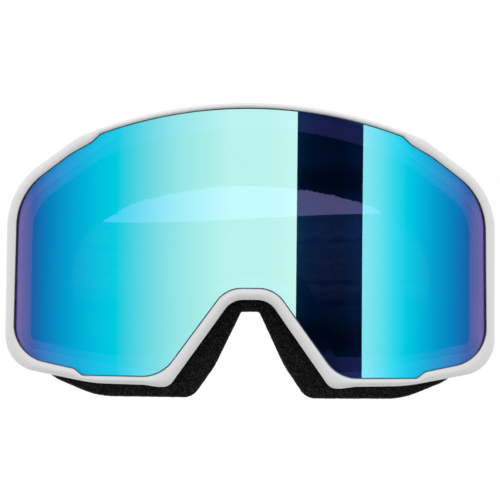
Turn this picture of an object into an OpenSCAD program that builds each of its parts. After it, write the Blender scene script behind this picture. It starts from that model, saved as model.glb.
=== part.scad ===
// Ski goggles: a one-piece curved double lens in a two-part frame, with layered face foam,
// hinged strap arms and an adjustable head strap. The lens faces -Y and the wearer +Y.

/* [Rim] */
// Width across the rim
rim_w = 180; // [178:1:186]
// Height of the rim's top above the eye line
rim_top = 54; // [53:0.5:56]
// Depth of the rim's bottom below the eye line
rim_low = 49.4; // [49:0.2:50.2]
// Thickness of the rim's wall
rim_wall = 2.2; // [1.8:0.1:2.4]
// How far the rim's lip stands in front of the lens
lip_proud = 1.2; // [0.6:0.1:1.6]

/* [Lens] */
// Radius of the lens's front, about an upright axis
lens_r = 108; // [106:1:112]
// Distance from the face to the front of the lens
lens_reach = 50; // [48:1:52]
// Thickness of the outer lens
lens_t = 1.5; // [1.2:0.1:1.8]
// Thickness of the seal between the two lenses
gasket_t = 3; // [2.5:0.1:3.5]
// Thickness of the inner lens
inner_t = 0.8; // [0.6:0.1:1]
// Gap between the lens's edge and the rim
lens_gap = 0.25; // [0.2:0.05:0.35]

/* [Face foam] */
// Radius of the face curve, about an upright axis
face_r = 125; // [122:1:130]
// Thickness of the firm foam against the frame
base_t = 6; // [5:0.5:7]
// Thickness of the soft middle foam
middle_t = 8; // [7:0.5:9]
// Thickness of the fleece layer that touches the face
fleece_t = 4; // [3:0.5:5]
// Thickness of the frame's foam flange
flange_t = 3.2; // [2.6:0.2:3.6]

/* [Strap] */
// Height of the strap
strap_h = 38; // [36:1:42]
// Thickness of the strap
strap_t = 1.4; // [1.2:0.1:1.5]
// Height of the strap's middle, from the eye line
strap_z = -4.5; // [-6:0.5:-4]
// Distance from the face to the centre of the strap's round back
strap_back = 108; // [106:1:130]

/* [Strap arms] */
// Radius of the hinge pins
pin_r = 1.5; // [1.3:0.1:1.7]
// Running clearance between a pin and its arm
pin_gap = 0.05; // [0.03:0.01:0.08]
// Distance from the face back to the hinge pins
pin_y = 13.5; // [13.5:0.5:14.5]

/* [Hidden] */
hw = rim_w / 2;
lens_y = lens_r - lens_reach;
face_y = face_r;
front_r = lens_r + lip_proud;
lens_rear_r = lens_r - lens_t;
ledge_front_r = lens_rear_r - 0.2;
ledge_t = 2;
ledge_rear_r = ledge_front_r - ledge_t;
gasket_rear_r = lens_rear_r - gasket_t;
inner_rear_r = gasket_rear_r - inner_t;
foam_front_r = face_r + fleece_t + middle_t + base_t;
flange_front_r = foam_front_r + flange_t;
rim_rear_r = flange_front_r + 2.3;
inner_wall_t = 2;
wall_gap = 0.2;

arm_x = hw - 7.2;
arm_t = 2.4;
strap_out = arm_x + 3.2;
strap_in = arm_x - 3.2;
barrel_r = 3.5;
barrel_h = 20;
ear_r = 3.4;
ear_t = 3;
ear_gap = 0.3;
arm_end = pin_y + 25;
arm_half_h = strap_h / 2 + 5;
slot_half_h = strap_h / 2 + 1;
neck_half_h = barrel_h / 2 - 0.1;
bar_w = 4;
slot_w = 4.5;
loop_y = arm_end - bar_w - 0.6;
loop_end = loop_y + 12.1;
band_start = loop_end + 1;

adj_y = 72;
adj_l = 20;
adj_bar_w = 3.5;
adj_bar_t = 1.5;
adj_clear = 0.4;
adj_face_t = 2;

bead_r = 1.1;
foam_side = arm_x - 4.8;
outline_sag = 0.03;
round_fn = 180;
small_fn = 48;

// The rim, its lens and its foam are outlines seen from the front. Each is half an outline
// with [x, z, corner radius] at its corners, clockwise from the top middle.
function crown(top, r, half_angle) = [0, top + r * (1 / cos(half_angle) - 1), r];

rim_crown = crown(rim_top, 163, 22.3);
shoulder_x = 63.2;
shoulder_z = rim_crown[1] - shoulder_x * tan(22.3);
corner_z = shoulder_z - (hw - 0.6 - shoulder_x) * tan(35.75);
rim_half = [
    rim_crown,
    [shoulder_x, shoulder_z, 10],
    [hw - 0.6, corner_z, 28],
    [hw - 0.1, -43, 13],
    [57, 0.3 - rim_low, 60],
    [28.5, -rim_low, 5],
    [6.7, -18.1, 8]
];

lens_crown = crown(rim_top - 2, 161, 19.6);
notch_x = 55;
notch_z = lens_crown[1] - notch_x * tan(19.6);
lens_half = [
    lens_crown,
    [notch_x, notch_z, 1.5],
    [notch_x + 3.2, notch_z - 3, 2],
    [notch_x + 11, notch_z - 7.4, 25],
    [hw - 4.4, rim_top - 33.8, 24],
    [hw - 3.4, -39.2, 14],
    [64, 5.6 - rim_low, 2],
    [61, 3.2 - rim_low, 1.5],
    [32.4, 3 - rim_low, 14],
    [8.8, -13.9, 11]
];

foam_crown = crown(rim_top - 3.2, 148, 22.3);
foam_shoulder_x = shoulder_x - 2;
foam_half = [
    foam_crown,
    [foam_shoulder_x, foam_crown[1] - foam_shoulder_x * tan(22.3), 10],
    [foam_side, corner_z + 5, 20],
    [foam_side, -44.8, 14],
    [56, -rim_low - 4.7, 30],
    [21, -rim_low - 4.8, 6],
    [12.9, -42.1, 30],
    [3.5, -22.3, 1.5]
];

opening_half = [
    crown(23.5, 124, 23.8),
    [foam_side - 17, 8.5, 22],
    [foam_side - 11, -8, 26],
    [foam_side - 16, -35, 13],
    [38, -37.5, 20],
    [28, -36.5, 6],
    [9, -9, 9]
];

// Widths of the bands inside the rim's outline, one for each of its edges:
// top, shoulder, side, lower, bottom, nose slope, nose top.
ledge_bands = [6.4, 8.2, 7.8, 8.2, 6.8, 6.0, 5.6];
gasket_outer_bands = [6.9, 8.7, 8.3, 8.7, 7.3, 6.4, 6.0];
inner_lens_bands = [7.3, 9.1, 8.7, 9.1, 7.7, 6.7, 6.3];
gasket_inner_bands = [11.0, 13.0, 12.0, 12.1, 10.7, 8.4, 8.0];

// The little foot at the lower end of each nose slope, where the rim ends in front of its vent
foot_low = -rim_low - 1.6;
foot = [[26, -46, 1], [38, -46.6, 1], [37.4, -rim_low, 2], [33.2, foot_low, 2.5], [29.8, foot_low, 4]];

stud_spots = [[62.3, 34.1], [64, -41.4]];
stud_r = 1.5;
stud_l = 5;
pin_spots = [[36, -24], [50, -20]];
rivet_r = 1.2;
pin_head_r = 2;
pin_head_t = 1;
top_pin_z = 42.6;
top_pin_l = 6.2;
low_pin_z = -48.5;
low_pin_l = 5.6;
top_vents = [-40, -20, 0, 20, 40];
top_vent_w = 12;
low_vents = [38.5, 47.5, 56.5];
low_vent_w = 7;

function flip(p) = [-p[0], p[1], p[2]];
function whole(half) = concat(half, [for (i = [len(half) - 1 : -1 : 1]) flip(half[i])]);
function both_ways(d) = concat(d, [for (i = [len(d) - 2 : -1 : 0]) d[i]]);
function upside_down(p) = [p[0], -p[1], p[2]];
function upper_and_lower(half) = concat(half, [for (i = [len(half) - 1 : -1 : 0]) upside_down(half[i])]);
function same(n, d) = [for (i = [1 : n]) d];
function flat(p) = [p[0], p[1]];
function inward(a, b) = [b[1] - a[1], a[0] - b[0]] / norm(b - a);

// An outline with each edge moved inwards by its own distance
function moved(b, n1, n2, d1, d2) =
    b + [d1 * n2[1] - d2 * n1[1], n1[0] * d2 - n2[0] * d1] / cross(n1, n2);
function inset_corner(a, b, c, d1, d2) =
    let (n1 = inward(flat(a), flat(b)), n2 = inward(flat(b), flat(c)), p = moved(flat(b), n1, n2, d1, d2))
    let (grow = sign(cross(n1, n2)) * (d1 + d2) / 2)
    [p[0], p[1], max(b[2] + grow, 0.6)];
function inset(pts, d) =
    let (n = len(pts))
    [for (i = [0 : n - 1])
        inset_corner(pts[(i + n - 1) % n], pts[i], pts[(i + 1) % n], d[(i + n - 1) % n], d[i])];
function inset_all(pts, d) = inset(pts, same(len(pts), d));

// An outline with its corners turned into arcs
function arc(centre, r, from, sweep) =
    let (n = max(2, ceil(abs(sweep) / (2 * acos(1 - outline_sag / r)))))
    [for (k = [0 : n]) centre + r * [cos(from + sweep * k / n), sin(from + sweep * k / n)]];
function angle_of(v) = atan2(v[1], v[0]);
function rounded_corner(a, b, c, wanted_r) =
    let (u = (a - b) / norm(a - b), v = (c - b) / norm(c - b), half = acos(u * v) / 2)
    let (reach = min(wanted_r / tan(half), 0.985 * min(norm(a - b), norm(c - b))), r = reach * tan(half))
    let (centre = b + (u + v) / norm(u + v) * r / sin(half))
    let (from = angle_of(b + u * reach - centre), to = angle_of(b + v * reach - centre))
    arc(centre, r, from, (to - from + 540) % 360 - 180);
function rounded(pts) =
    let (n = len(pts))
    [for (i = [0 : n - 1])
        each rounded_corner(flat(pts[(i + n - 1) % n]), flat(pts[i]), flat(pts[(i + 1) % n]), pts[i][2])];

rim_line = whole(rim_half);
lens_line = whole(lens_half);
foam_line = whole(foam_half);
opening_line = whole(opening_half);
function rim_band(bands) = inset(rim_line, both_ways(bands));

// Solids that the parts are cut from
module prism(pts, y0 = -70, y1 = 45) {
    translate([0, y1, 0])
        rotate([90, 0, 0])
            linear_extrude(y1 - y0)
                polygon(rounded(pts));
}

module band(outer, inner) {
    difference() {
        prism(outer);
        prism(inner, -80, 50);
    }
}

module drum(r, y) {
    translate([0, y, -80])
        cylinder(r = r, h = 160, $fn = round_fn);
}

module shell(outer_r, inner_r, y) {
    difference() {
        drum(outer_r, y);
        drum(inner_r, y);
    }
}

// A plate cut from an outline of [y, z, corner radius], from x to x + t
module side_plate(pts, x, t) {
    translate([x, 0, strap_z])
        rotate([90, 0, 90])
            linear_extrude(t)
                polygon(rounded(pts));
}

// A ribbon of the strap, from an outline seen from above
module ribbon() {
    translate([0, 0, strap_z - strap_h / 2])
        linear_extrude(strap_h)
            children();
}

module both_sides() {
    children();
    mirror([1, 0, 0]) children();
}

module on_side(side) {
    if (side > 0) children();
    else mirror([1, 0, 0]) children();
}

module vent_slots() {
    intersection() {
        shell(lens_r - 5, lens_r - 13, lens_y);
        union() {
            for (x = top_vents)
                translate([x - top_vent_w / 2, -60, 35]) cube([top_vent_w, 70, 25]);
            both_sides()
                for (x = low_vents)
                    translate([x - low_vent_w / 2, -60, -60]) cube([low_vent_w, 70, 18]);
        }
    }
}

module rivets(r) {
    both_sides() {
        translate([pin_spots[0][0], pin_spots[0][1], top_pin_z])
            cylinder(r = r, h = top_pin_l, $fn = small_fn);
        translate([pin_spots[1][0], pin_spots[1][1], low_pin_z])
            cylinder(r = r, h = low_pin_l, $fn = small_fn);
    }
}

module studs(r) {
    both_sides()
        for (p = stud_spots)
            intersection() {
                translate([p[0], 0, p[1]])
                    rotate([90, 0, 0])
                        cylinder(r = r, h = 60, $fn = small_fn);
                shell(lens_rear_r, lens_rear_r - stud_l, lens_y);
            }
}

// The white rim: lip, wall and the ledge that the lens rests on
module front_frame() {
    color("whitesmoke")
        difference() {
            union() {
                intersection() {
                    band(rim_line, inset_all(rim_line, rim_wall));
                    difference() {
                        drum(front_r, lens_y);
                        drum(rim_rear_r, face_y);
                    }
                }
                intersection() {
                    band(rim_line, inset_all(lens_line, -lens_gap));
                    shell(front_r, ledge_front_r - 0.5, lens_y);
                }
                intersection() {
                    band(inset_all(rim_line, rim_wall / 2), rim_band(ledge_bands));
                    shell(ledge_front_r, ledge_rear_r, lens_y);
                }
                both_sides()
                    difference() {
                        intersection() {
                            prism(foot);
                            shell(front_r, ledge_rear_r, lens_y);
                        }
                        prism(inset_all(lens_line, -lens_gap), -80, 50);
                    }
            }
            intersection() {
                prism(inset_all(lens_line, -lens_gap));
                shell(front_r + 1, ledge_front_r, lens_y);
            }
            studs(stud_r + 0.3);
            vent_slots();
            rivets(rivet_r);
        }
}

// The flexible black frame behind the rim, with the flange for the foam and the hinge ears
module hinge_ear(z) {
    translate([arm_x, pin_y, z]) cylinder(r = ear_r, h = ear_t, $fn = small_fn);
    translate([arm_x - ear_r, pin_y - 7, z]) cube([2 * ear_r, 7, ear_t]);
}

module face_frame() {
    outer = inset_all(rim_line, rim_wall + wall_gap);
    color("dimgray")
        difference() {
            union() {
                intersection() {
                    band(outer, inset_all(outer, inner_wall_t));
                    difference() {
                        drum(ledge_rear_r - 0.2, lens_y);
                        drum(flange_front_r - 0.5, face_y);
                    }
                }
                intersection() {
                    difference() {
                        union() {
                            prism(outer);
                            prism(inset_all(foam_line, 0.6));
                        }
                        prism(inset_all(opening_line, -1.5), -80, 50);
                    }
                    shell(flange_front_r, foam_front_r, face_y);
                }
                both_sides() {
                    hinge_ear(strap_z + barrel_h / 2 + ear_gap);
                    hinge_ear(strap_z - barrel_h / 2 - ear_gap - ear_t);
                }
            }
            both_sides()
                translate([arm_x, pin_y, strap_z - 20]) cylinder(r = pin_r, h = 40, $fn = small_fn);
            vent_slots();
            rivets(rivet_r);
        }
}

module frame_pins() {
    color("silver") {
        rivets(rivet_r);
        both_sides() {
            translate([pin_spots[0][0], pin_spots[0][1], top_pin_z])
                cylinder(r = pin_head_r, h = pin_head_t, $fn = small_fn);
            translate([pin_spots[1][0], pin_spots[1][1], low_pin_z + low_pin_l - pin_head_t])
                cylinder(r = pin_head_r, h = pin_head_t, $fn = small_fn);
        }
    }
}

// The lens unit: outer lens, seal, inner lens, and the studs that locate it in the ledge
module outer_lens() {
    color("deepskyblue", 0.5)
        intersection() {
            prism(lens_line);
            shell(lens_r, lens_rear_r, lens_y);
        }
}

module lens_gasket() {
    color("slateblue")
        intersection() {
            band(rim_band(gasket_outer_bands), rim_band(gasket_inner_bands));
            shell(lens_rear_r, gasket_rear_r, lens_y);
        }
}

module inner_lens() {
    color("lightblue", 0.5)
        intersection() {
            prism(rim_band(inner_lens_bands));
            shell(gasket_rear_r, inner_rear_r, lens_y);
        }
}

module lens_studs() {
    color("lightsteelblue") studs(stud_r);
}

// The face foam, in three bonded layers on one curve
module foam_layer(front_r, rear_r, trim) {
    intersection() {
        band(inset_all(foam_line, trim), inset_all(opening_line, -trim));
        shell(front_r, rear_r, face_y);
    }
}

module foam_base() {
    color("#303030") foam_layer(foam_front_r, face_r + fleece_t + middle_t, 0.4);
}

module foam_middle() {
    color("#404040") foam_layer(face_r + fleece_t + middle_t, face_r + fleece_t, 0);
}

module foam_fleece() {
    color("#202020") foam_layer(face_r + fleece_t, face_r, 0.4);
}

// Strips of open foam inside the vents
module vent_strip(x0, x1, z0, z1) {
    difference() {
        intersection() {
            band(inset_all(rim_line, 4.6), inset_all(rim_line, 7.2));
            shell(lens_r - 6.5, lens_r - 16, lens_y);
            translate([x0, -60, z0]) cube([x1 - x0, 70, z1 - z0]);
        }
        rivets(pin_head_r + 0.2);
    }
}

module vent_foam_top() {
    color("#505050") vent_strip(-48, 48, 30, 60);
}

module vent_foam_low(side) {
    color("#505050") on_side(side) vent_strip(34, 61, -60, -38);
}

// The strap arms, hinged on upright pins, each with a slot for the strap
module strap_arm(side) {
    slot_y = arm_end - bar_w;
    upper_arm = [[pin_y, neck_half_h, 0.5], [pin_y + 5, neck_half_h, 3],
                 [arm_end - 11.5, arm_half_h, 6], [arm_end, arm_half_h, 3]];
    upper_slot = [[slot_y - slot_w, slot_half_h, 1], [slot_y, slot_half_h, 1]];
    arm = upper_and_lower(upper_arm);
    slot = upper_and_lower(upper_slot);
    color("#353535")
        on_side(side)
            difference() {
                union() {
                    side_plate(arm, arm_x - arm_t / 2, arm_t);
                    translate([arm_x, pin_y, strap_z - barrel_h / 2])
                        cylinder(r = barrel_r, h = barrel_h, $fn = small_fn);
                }
                side_plate(slot, arm_x - arm_t, 2 * arm_t);
                translate([arm_x, pin_y, strap_z - 20])
                    cylinder(r = pin_r + pin_gap, h = 40, $fn = small_fn);
            }
}

module hinge_pin(side) {
    pin_l = barrel_h + 2 * (ear_gap + ear_t) + 0.4;
    color("silver")
        on_side(side)
            translate([arm_x, pin_y, strap_z - pin_l / 2])
                cylinder(r = pin_r, h = pin_l, $fn = small_fn);
}

// The strap: a band round the head, a loop through each arm, and a fold on each adjuster
module strap_band() {
    color("#252525")
        ribbon() {
            both_sides()
                translate([strap_out - strap_t, band_start]) square([strap_t, strap_back - band_start + 0.2]);
            translate([0, strap_back])
                intersection() {
                    difference() {
                        circle(strap_out, $fn = round_fn);
                        circle(strap_out - strap_t, $fn = round_fn);
                    }
                    translate([-100, 0]) square([200, 100]);
                }
        }
}

module strap_loop(side) {
    outer_r = strap_out - arm_x;
    inner_r = outer_r - strap_t;
    color("#2c2c2c")
        on_side(side)
            ribbon()
                difference() {
                    union() {
                        translate([arm_x, loop_y]) circle(outer_r, $fn = small_fn);
                        translate([strap_in, loop_y]) square([2 * outer_r, loop_end - loop_y]);
                    }
                    translate([arm_x, loop_y]) circle(inner_r, $fn = small_fn);
                    translate([arm_x - inner_r, loop_y]) square([2 * inner_r, 20]);
                    translate([strap_in - 1, loop_end - 2]) square([2 + strap_t, 5]);
                }
}

module strap_fold(side) {
    outer_r = (strap_out - strap_t - 0.3 - strap_in) / 2;
    fold_x = strap_in + outer_r;
    fold_y = adj_y + 1.2;
    color("#2c2c2c")
        on_side(side)
            ribbon()
                difference() {
                    union() {
                        translate([fold_x, fold_y]) circle(outer_r, $fn = small_fn);
                        translate([strap_in, fold_y - 15]) square([strap_t, 15]);
                        translate([fold_x + outer_r - strap_t, fold_y - 9]) square([strap_t, 9]);
                    }
                    translate([fold_x, fold_y]) circle(outer_r - strap_t, $fn = small_fn);
                    translate([fold_x - outer_r + strap_t, fold_y - 10])
                        square([2 * (outer_r - strap_t), 10]);
                }
}

module grip_beads() {
    color("#555555")
        intersection() {
            for (z = [-10, 0, 10])
                translate([0, strap_back, strap_z + z])
                    rotate_extrude($fn = round_fn)
                        translate([strap_out - strap_t, 0]) circle(bead_r, $fn = small_fn);
            drum(strap_out - strap_t, strap_back);
            translate([-100, strap_back + 25, -60]) cube([200, 80, 120]);
        }
}

// The sliding adjusters: two rails, two bars outside the strap and one between its layers
module adjuster(side) {
    rail_z = strap_h / 2 + 0.6;
    rail_h = 2.8;
    face_x = strap_out + adj_clear;
    bar_x = strap_in + strap_t + 0.2;
    color("#3a3a3a")
        on_side(side) {
            for (s = [-1, 1])
                translate([bar_x, adj_y - adj_l / 2, strap_z + s * (rail_z + rail_h / 2) - rail_h / 2])
                    cube([face_x + adj_face_t - bar_x, adj_l, rail_h]);
            for (y = [adj_y - adj_l / 2, adj_y + adj_l / 2 - adj_bar_w])
                translate([face_x, y, strap_z - rail_z - 1])
                    cube([adj_face_t, adj_bar_w, 2 * rail_z + 2]);
            translate([bar_x, adj_y - adj_bar_w / 2, strap_z - rail_z - 1])
                cube([adj_bar_t, adj_bar_w, 2 * rail_z + 2]);
        }
}

front_frame();
face_frame();
frame_pins();
outer_lens();
lens_gasket();
inner_lens();
lens_studs();
foam_base();
foam_middle();
foam_fleece();
vent_foam_top();
vent_foam_low(1);  // vent_foam_left
vent_foam_low(-1);  // vent_foam_right
strap_arm(1);  // outrigger_left
strap_arm(-1);  // outrigger_right
hinge_pin(1);  // hinge_pin_left
hinge_pin(-1);  // hinge_pin_right
strap_band();
strap_loop(1);  // strap_loop_left
strap_loop(-1);  // strap_loop_right
strap_fold(1);  // strap_fold_left
strap_fold(-1);  // strap_fold_right
adjuster(1);  // adjuster_left
adjuster(-1);  // adjuster_right
grip_beads();
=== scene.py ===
import math

import bmesh
import bpy
import numpy as np
from mathutils import Matrix, Vector


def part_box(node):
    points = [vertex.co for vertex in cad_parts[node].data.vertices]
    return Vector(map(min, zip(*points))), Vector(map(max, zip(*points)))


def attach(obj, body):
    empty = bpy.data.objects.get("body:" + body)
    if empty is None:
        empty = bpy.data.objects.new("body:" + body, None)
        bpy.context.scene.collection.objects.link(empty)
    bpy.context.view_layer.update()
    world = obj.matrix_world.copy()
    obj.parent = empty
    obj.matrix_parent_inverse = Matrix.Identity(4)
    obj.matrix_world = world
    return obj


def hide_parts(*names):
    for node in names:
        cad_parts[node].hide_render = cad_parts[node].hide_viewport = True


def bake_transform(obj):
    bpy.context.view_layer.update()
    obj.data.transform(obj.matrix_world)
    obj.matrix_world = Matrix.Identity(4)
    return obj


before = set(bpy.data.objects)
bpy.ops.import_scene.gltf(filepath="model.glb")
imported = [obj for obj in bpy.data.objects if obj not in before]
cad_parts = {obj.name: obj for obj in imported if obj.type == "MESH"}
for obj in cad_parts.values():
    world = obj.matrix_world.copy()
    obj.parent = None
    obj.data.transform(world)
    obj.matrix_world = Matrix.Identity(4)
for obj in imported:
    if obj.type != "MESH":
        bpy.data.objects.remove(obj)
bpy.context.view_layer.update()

MM = 0.001

# ---------------------------------------------------------------- driving sizes, in millimetres
rim_high_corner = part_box("front_frame")[1]
HALF_W = rim_high_corner.x / MM
RIM_TOP = rim_high_corner.z / MM - 0.5
RIM_LOW = 49.4
LENS_R = 108.0
LENS_Y = LENS_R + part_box("outer_lens")[0].y / MM
FACE_R = 125.0
FACE_Y = 125.0
FOAM_LAYERS = {"foam_fleece": (0.0, 4.0), "foam_middle": (4.0, 12.0), "foam_base": (12.0, 18.0)}
LIP = 1.2
LENS_T = 1.5
GASKET_T = 3.0
INNER_T = 0.8
LEDGE_S = 1.7
LEDGE_T = 2.0
WALL = 2.2
RIM_REAR = 23.5
LENS_GAP = 0.25
STEP = 0.5
ARC_STEPS = 24
FINE = 2400

ARM_X = HALF_W + 0.18 - 7.2
STRAP_OUT = ARM_X + 3.2
STRAP_IN = ARM_X - 3.2
STRAP_T = 1.4
STRAP_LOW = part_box("strap_band")[0].z / MM
SLOT_ROOM = 2.0
STRAP_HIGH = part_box("strap_band")[1].z / MM - SLOT_ROOM
STRAP_BACK = 108.0
LOOP_Y = 33.9
ADJUSTER_Y = 72.0

# ---------------------------------------------------------------- outlines, seen from the front
# Each is half an outline with (x, z, corner radius) at its corners, clockwise from the top middle.


def crown(top, radius, half_angle):
    """The corner that an arc over the middle is rounded from."""
    return (0.0, top + radius * (1 / math.cos(math.radians(half_angle)) - 1), radius)


def along(corner, x, angle):
    """Height at x of a line that falls from a corner at an angle in degrees."""
    return corner[1] - (x - corner[0]) * math.tan(math.radians(angle))


RIM_CROWN = crown(RIM_TOP, 163, 22.3)
SHOULDER = (63.2, along(RIM_CROWN, 63.2, 22.3), 10)
RIM = [
    RIM_CROWN,
    SHOULDER,
    (HALF_W - 0.4, along(SHOULDER, HALF_W - 0.4, 35.75), 28),
    (HALF_W + 0.1, -43, 13),
    (57, 0.3 - RIM_LOW, 60),
    (28.5, -RIM_LOW, 5),
    (6.7, -18.1, 8),
]
RIM_WITH_FOOT = RIM[:5] + [
    (38.4, -RIM_LOW - 0.05, 6),
    (33.4, -RIM_LOW - 0.75, 3),
    (29.4, -RIM_LOW - 0.75, 4.5),
    RIM[6],
]
LENS_CROWN = crown(RIM_TOP - 2, 161, 19.6)
NOTCH = (55.0, along(LENS_CROWN, 55, 19.6), 1.5)
LENS = [
    LENS_CROWN,
    NOTCH,
    (NOTCH[0] + 3.2, NOTCH[1] - 3, 2),
    (NOTCH[0] + 11, NOTCH[1] - 7.4, 25),
    (HALF_W - 4.2, RIM_TOP - 33.8, 24),
    (HALF_W - 3.2, -39.2, 14),
    (64, 5.6 - RIM_LOW, 2),
    (61, 3.2 - RIM_LOW, 1.5),
    (32.4, 3 - RIM_LOW, 14),
    (8.8, -13.9, 11),
]
FOAM_SIDE = ARM_X - 4.8
FOAM_CROWN = crown(RIM_TOP - 3.2, 148, 22.3)
FOAM = [
    FOAM_CROWN,
    (61.2, along(FOAM_CROWN, 61.2, 22.3), 10),
    (FOAM_SIDE, 27.3, 20),
    (FOAM_SIDE, -44.8, 14),
    (56, -RIM_LOW - 4.4, 30),
    (21, -RIM_LOW - 4.5, 6),
    (12.9, -42.1, 30),
    (3.5, -22.3, 1.5),
]
OPENING_CROWN = crown(23.9, 140, 16.3)
OPENING = [
    OPENING_CROWN,
    (44, along(OPENING_CROWN, 44, 16.3), 14),
    (FOAM_SIDE - 17, 6.5, 16),
    (FOAM_SIDE - 11, -8, 26),
    (FOAM_SIDE - 16, -34.5, 13),
    (41, -35, 16),
    (31.5, -31.2, 8),
    (17.5, -8, 10),
]
# Widths of the bands inside the rim: top, shoulder, side, lower, bottom, nose slope, nose top
LEDGE_BANDS = (4.6, 8.2, 6.0, 8.2, 5.2, 5.4, 5.0)
GASKET_OUTER_BANDS = (4.75, 8.35, 6.15, 8.35, 5.35, 5.55, 5.15)
INNER_LENS_BANDS = (5.5, 9.1, 6.9, 9.1, 6.1, 6.1, 5.7)
GASKET_INNER_BANDS = (10.2, 11.2, 9.4, 11.0, 10.7, 8.4, 8.0)


def whole(half):
    """A half outline's corners, and their mirror images."""
    return list(half) + [(-x, z, r) for x, z, r in reversed(half[1:])]


def inset(half, bands):
    """A half outline with each edge moved inwards by its own distance."""
    corners = whole(half)
    edges = list(bands) + list(reversed(bands[:-1]))
    count = len(corners)
    made = []
    for i in range(len(half)):
        before, here, after = (np.array(corners[(i + k) % count][:2]) for k in (-1, 0, 1))
        first, second = here - before, after - here
        n1 = np.array([first[1], -first[0]]) / np.linalg.norm(first)
        n2 = np.array([second[1], -second[0]]) / np.linalg.norm(second)
        d1, d2 = edges[(i - 1) % count], edges[i % count]
        turn = n1[0] * n2[1] - n1[1] * n2[0]
        spot = here + np.array([d1 * n2[1] - d2 * n1[1], n1[0] * d2 - n2[0] * d1]) / turn
        radius = max(half[i][2] + math.copysign((d1 + d2) / 2, turn), 0.6)
        made.append((float(spot[0]), float(spot[1]), radius))
    return made


def arc_at(before, here, after, radius):
    """Points along the arc that rounds one corner."""
    u = (before - here) / np.linalg.norm(before - here)
    v = (after - here) / np.linalg.norm(after - here)
    half = math.acos(float(np.clip(u @ v, -1, 1))) / 2
    shortest = min(np.linalg.norm(before - here), np.linalg.norm(after - here))
    reach = min(radius / math.tan(half), 0.985 * shortest)
    radius = reach * math.tan(half)
    centre = here + (u + v) / np.linalg.norm(u + v) * radius / math.sin(half)
    start = math.atan2(*(here + u * reach - centre)[::-1])
    end = math.atan2(*(here + v * reach - centre)[::-1])
    sweep = (end - start + 3 * math.pi) % (2 * math.pi) - math.pi
    angles = [start + sweep * k / ARC_STEPS for k in range(ARC_STEPS + 1)]
    return [centre + radius * np.array([math.cos(a), math.sin(a)]) for a in angles]


def curve(half, count=None):
    """The rounded half outline as evenly spaced points from the top middle to the bottom middle."""
    corners = [np.array(c[:2], float) for c in whole(half)]
    points = []
    for i in range(len(half)):
        arc = arc_at(corners[i - 1], corners[i], corners[(i + 1) % len(corners)], half[i][2])
        points += arc[len(arc) // 2:] if i == 0 else arc
    points.append(np.array([0.0, points[-1][1]]))
    points = np.array(points)
    points[0, 0] = 0.0
    return evenly(points, count or int(lengths(points)[-1] / STEP))


def lengths(points):
    """Distance along a line of points, at each point."""
    return np.concatenate([[0], np.cumsum(np.linalg.norm(np.diff(points, axis=0), axis=1))])


def at_lengths(points, where):
    """Points on a line at the given lengths along it."""
    run = lengths(points)
    return np.stack([np.interp(where, run, points[:, k]) for k in range(points.shape[1])], axis=1)


def evenly(points, count):
    """A line resampled into evenly spaced points."""
    return at_lengths(points, np.linspace(0, lengths(points)[-1], count))


def inward(points):
    """Unit normals of a half outline, towards its inside."""
    steps = np.gradient(points, axis=0)
    steps[0] = (1, 0)
    steps[-1] = (-1, 0)
    steps /= np.linalg.norm(steps, axis=1)[:, None]
    return np.stack([steps[:, 1], -steps[:, 0]], axis=1)


def paired(base, other, keys, outward=3.5):
    """Another outline's points, resampled so that they pair with base's between its key corners."""
    normals = inward(base)
    picked, partners = [0], [0]
    for x, z, _ in keys:
        i = int(np.argmin(np.hypot(base[:, 0] - x, base[:, 1] - z)))
        j = int(np.argmin(np.linalg.norm(other - (base[i] - normals[i] * outward), axis=1)))
        if i > picked[-1] + 1 and j > partners[-1] + 1:
            picked.append(i)
            partners.append(j)
    picked.append(len(base) - 1)
    partners.append(len(other) - 1)
    base_run, other_run = lengths(base), lengths(other)
    where = np.interp(base_run, base_run[picked], other_run[partners])
    return at_lengths(other, where)


# ---------------------------------------------------------------- depth: two curved families
def front_y(x, s=0.0):
    """Y on the shell that lies s behind the lens's front."""
    return LENS_Y - np.sqrt((LENS_R - s) ** 2 - np.square(x))


def face_y(x, s=0.0):
    """Y on the shell that lies s in front of the face."""
    return FACE_Y - np.sqrt((FACE_R + s) ** 2 - np.square(x))


def row(points, depth, offset=0.0):
    """A row of 3-D points: an outline moved inwards by offset, at the depth that a function gives."""
    moved = points + inward(points) * np.reshape(offset, (-1, 1))
    moved[0, 0] = moved[-1, 0] = 0.0
    return np.stack([moved[:, 0], depth(moved[:, 0]), moved[:, 1]], axis=1)


def lens_depth(s):
    """Depth on the shell s behind the lens's front, as a function of x."""
    return lambda x: front_y(x, s)


def face_depth(s):
    """Depth on the shell s in front of the face, as a function of x."""
    return lambda x: face_y(x, s)


def between(first, second, share):
    """A share of the way from first to second."""
    return first + (second - first) * share


def full_loop(half_row):
    """A row over both halves."""
    other = half_row[-2:0:-1] * (-1, 1, 1)
    return np.concatenate([half_row, other])


# ---------------------------------------------------------------- meshes
def new_object(name, mesh, materials):
    """A mesh's object in the scene, with its materials in order."""
    made = bpy.data.objects.new(name, mesh)
    bpy.context.scene.collection.objects.link(made)
    for material in materials:
        mesh.materials.append(material)
    return made


def mesh_from(name, points, faces, materials):
    """A smooth object from points in millimetres."""
    mesh = bpy.data.meshes.new(name)
    mesh.from_pydata([tuple(p) for p in np.asarray(points) * MM], [], faces)
    bm = bmesh.new()
    bm.from_mesh(mesh)
    bmesh.ops.remove_doubles(bm, verts=bm.verts, dist=1e-7)
    bmesh.ops.recalc_face_normals(bm, faces=bm.faces)
    bm.to_mesh(mesh)
    bm.free()
    mesh.shade_smooth()
    return new_object(name, mesh, materials)


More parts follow.
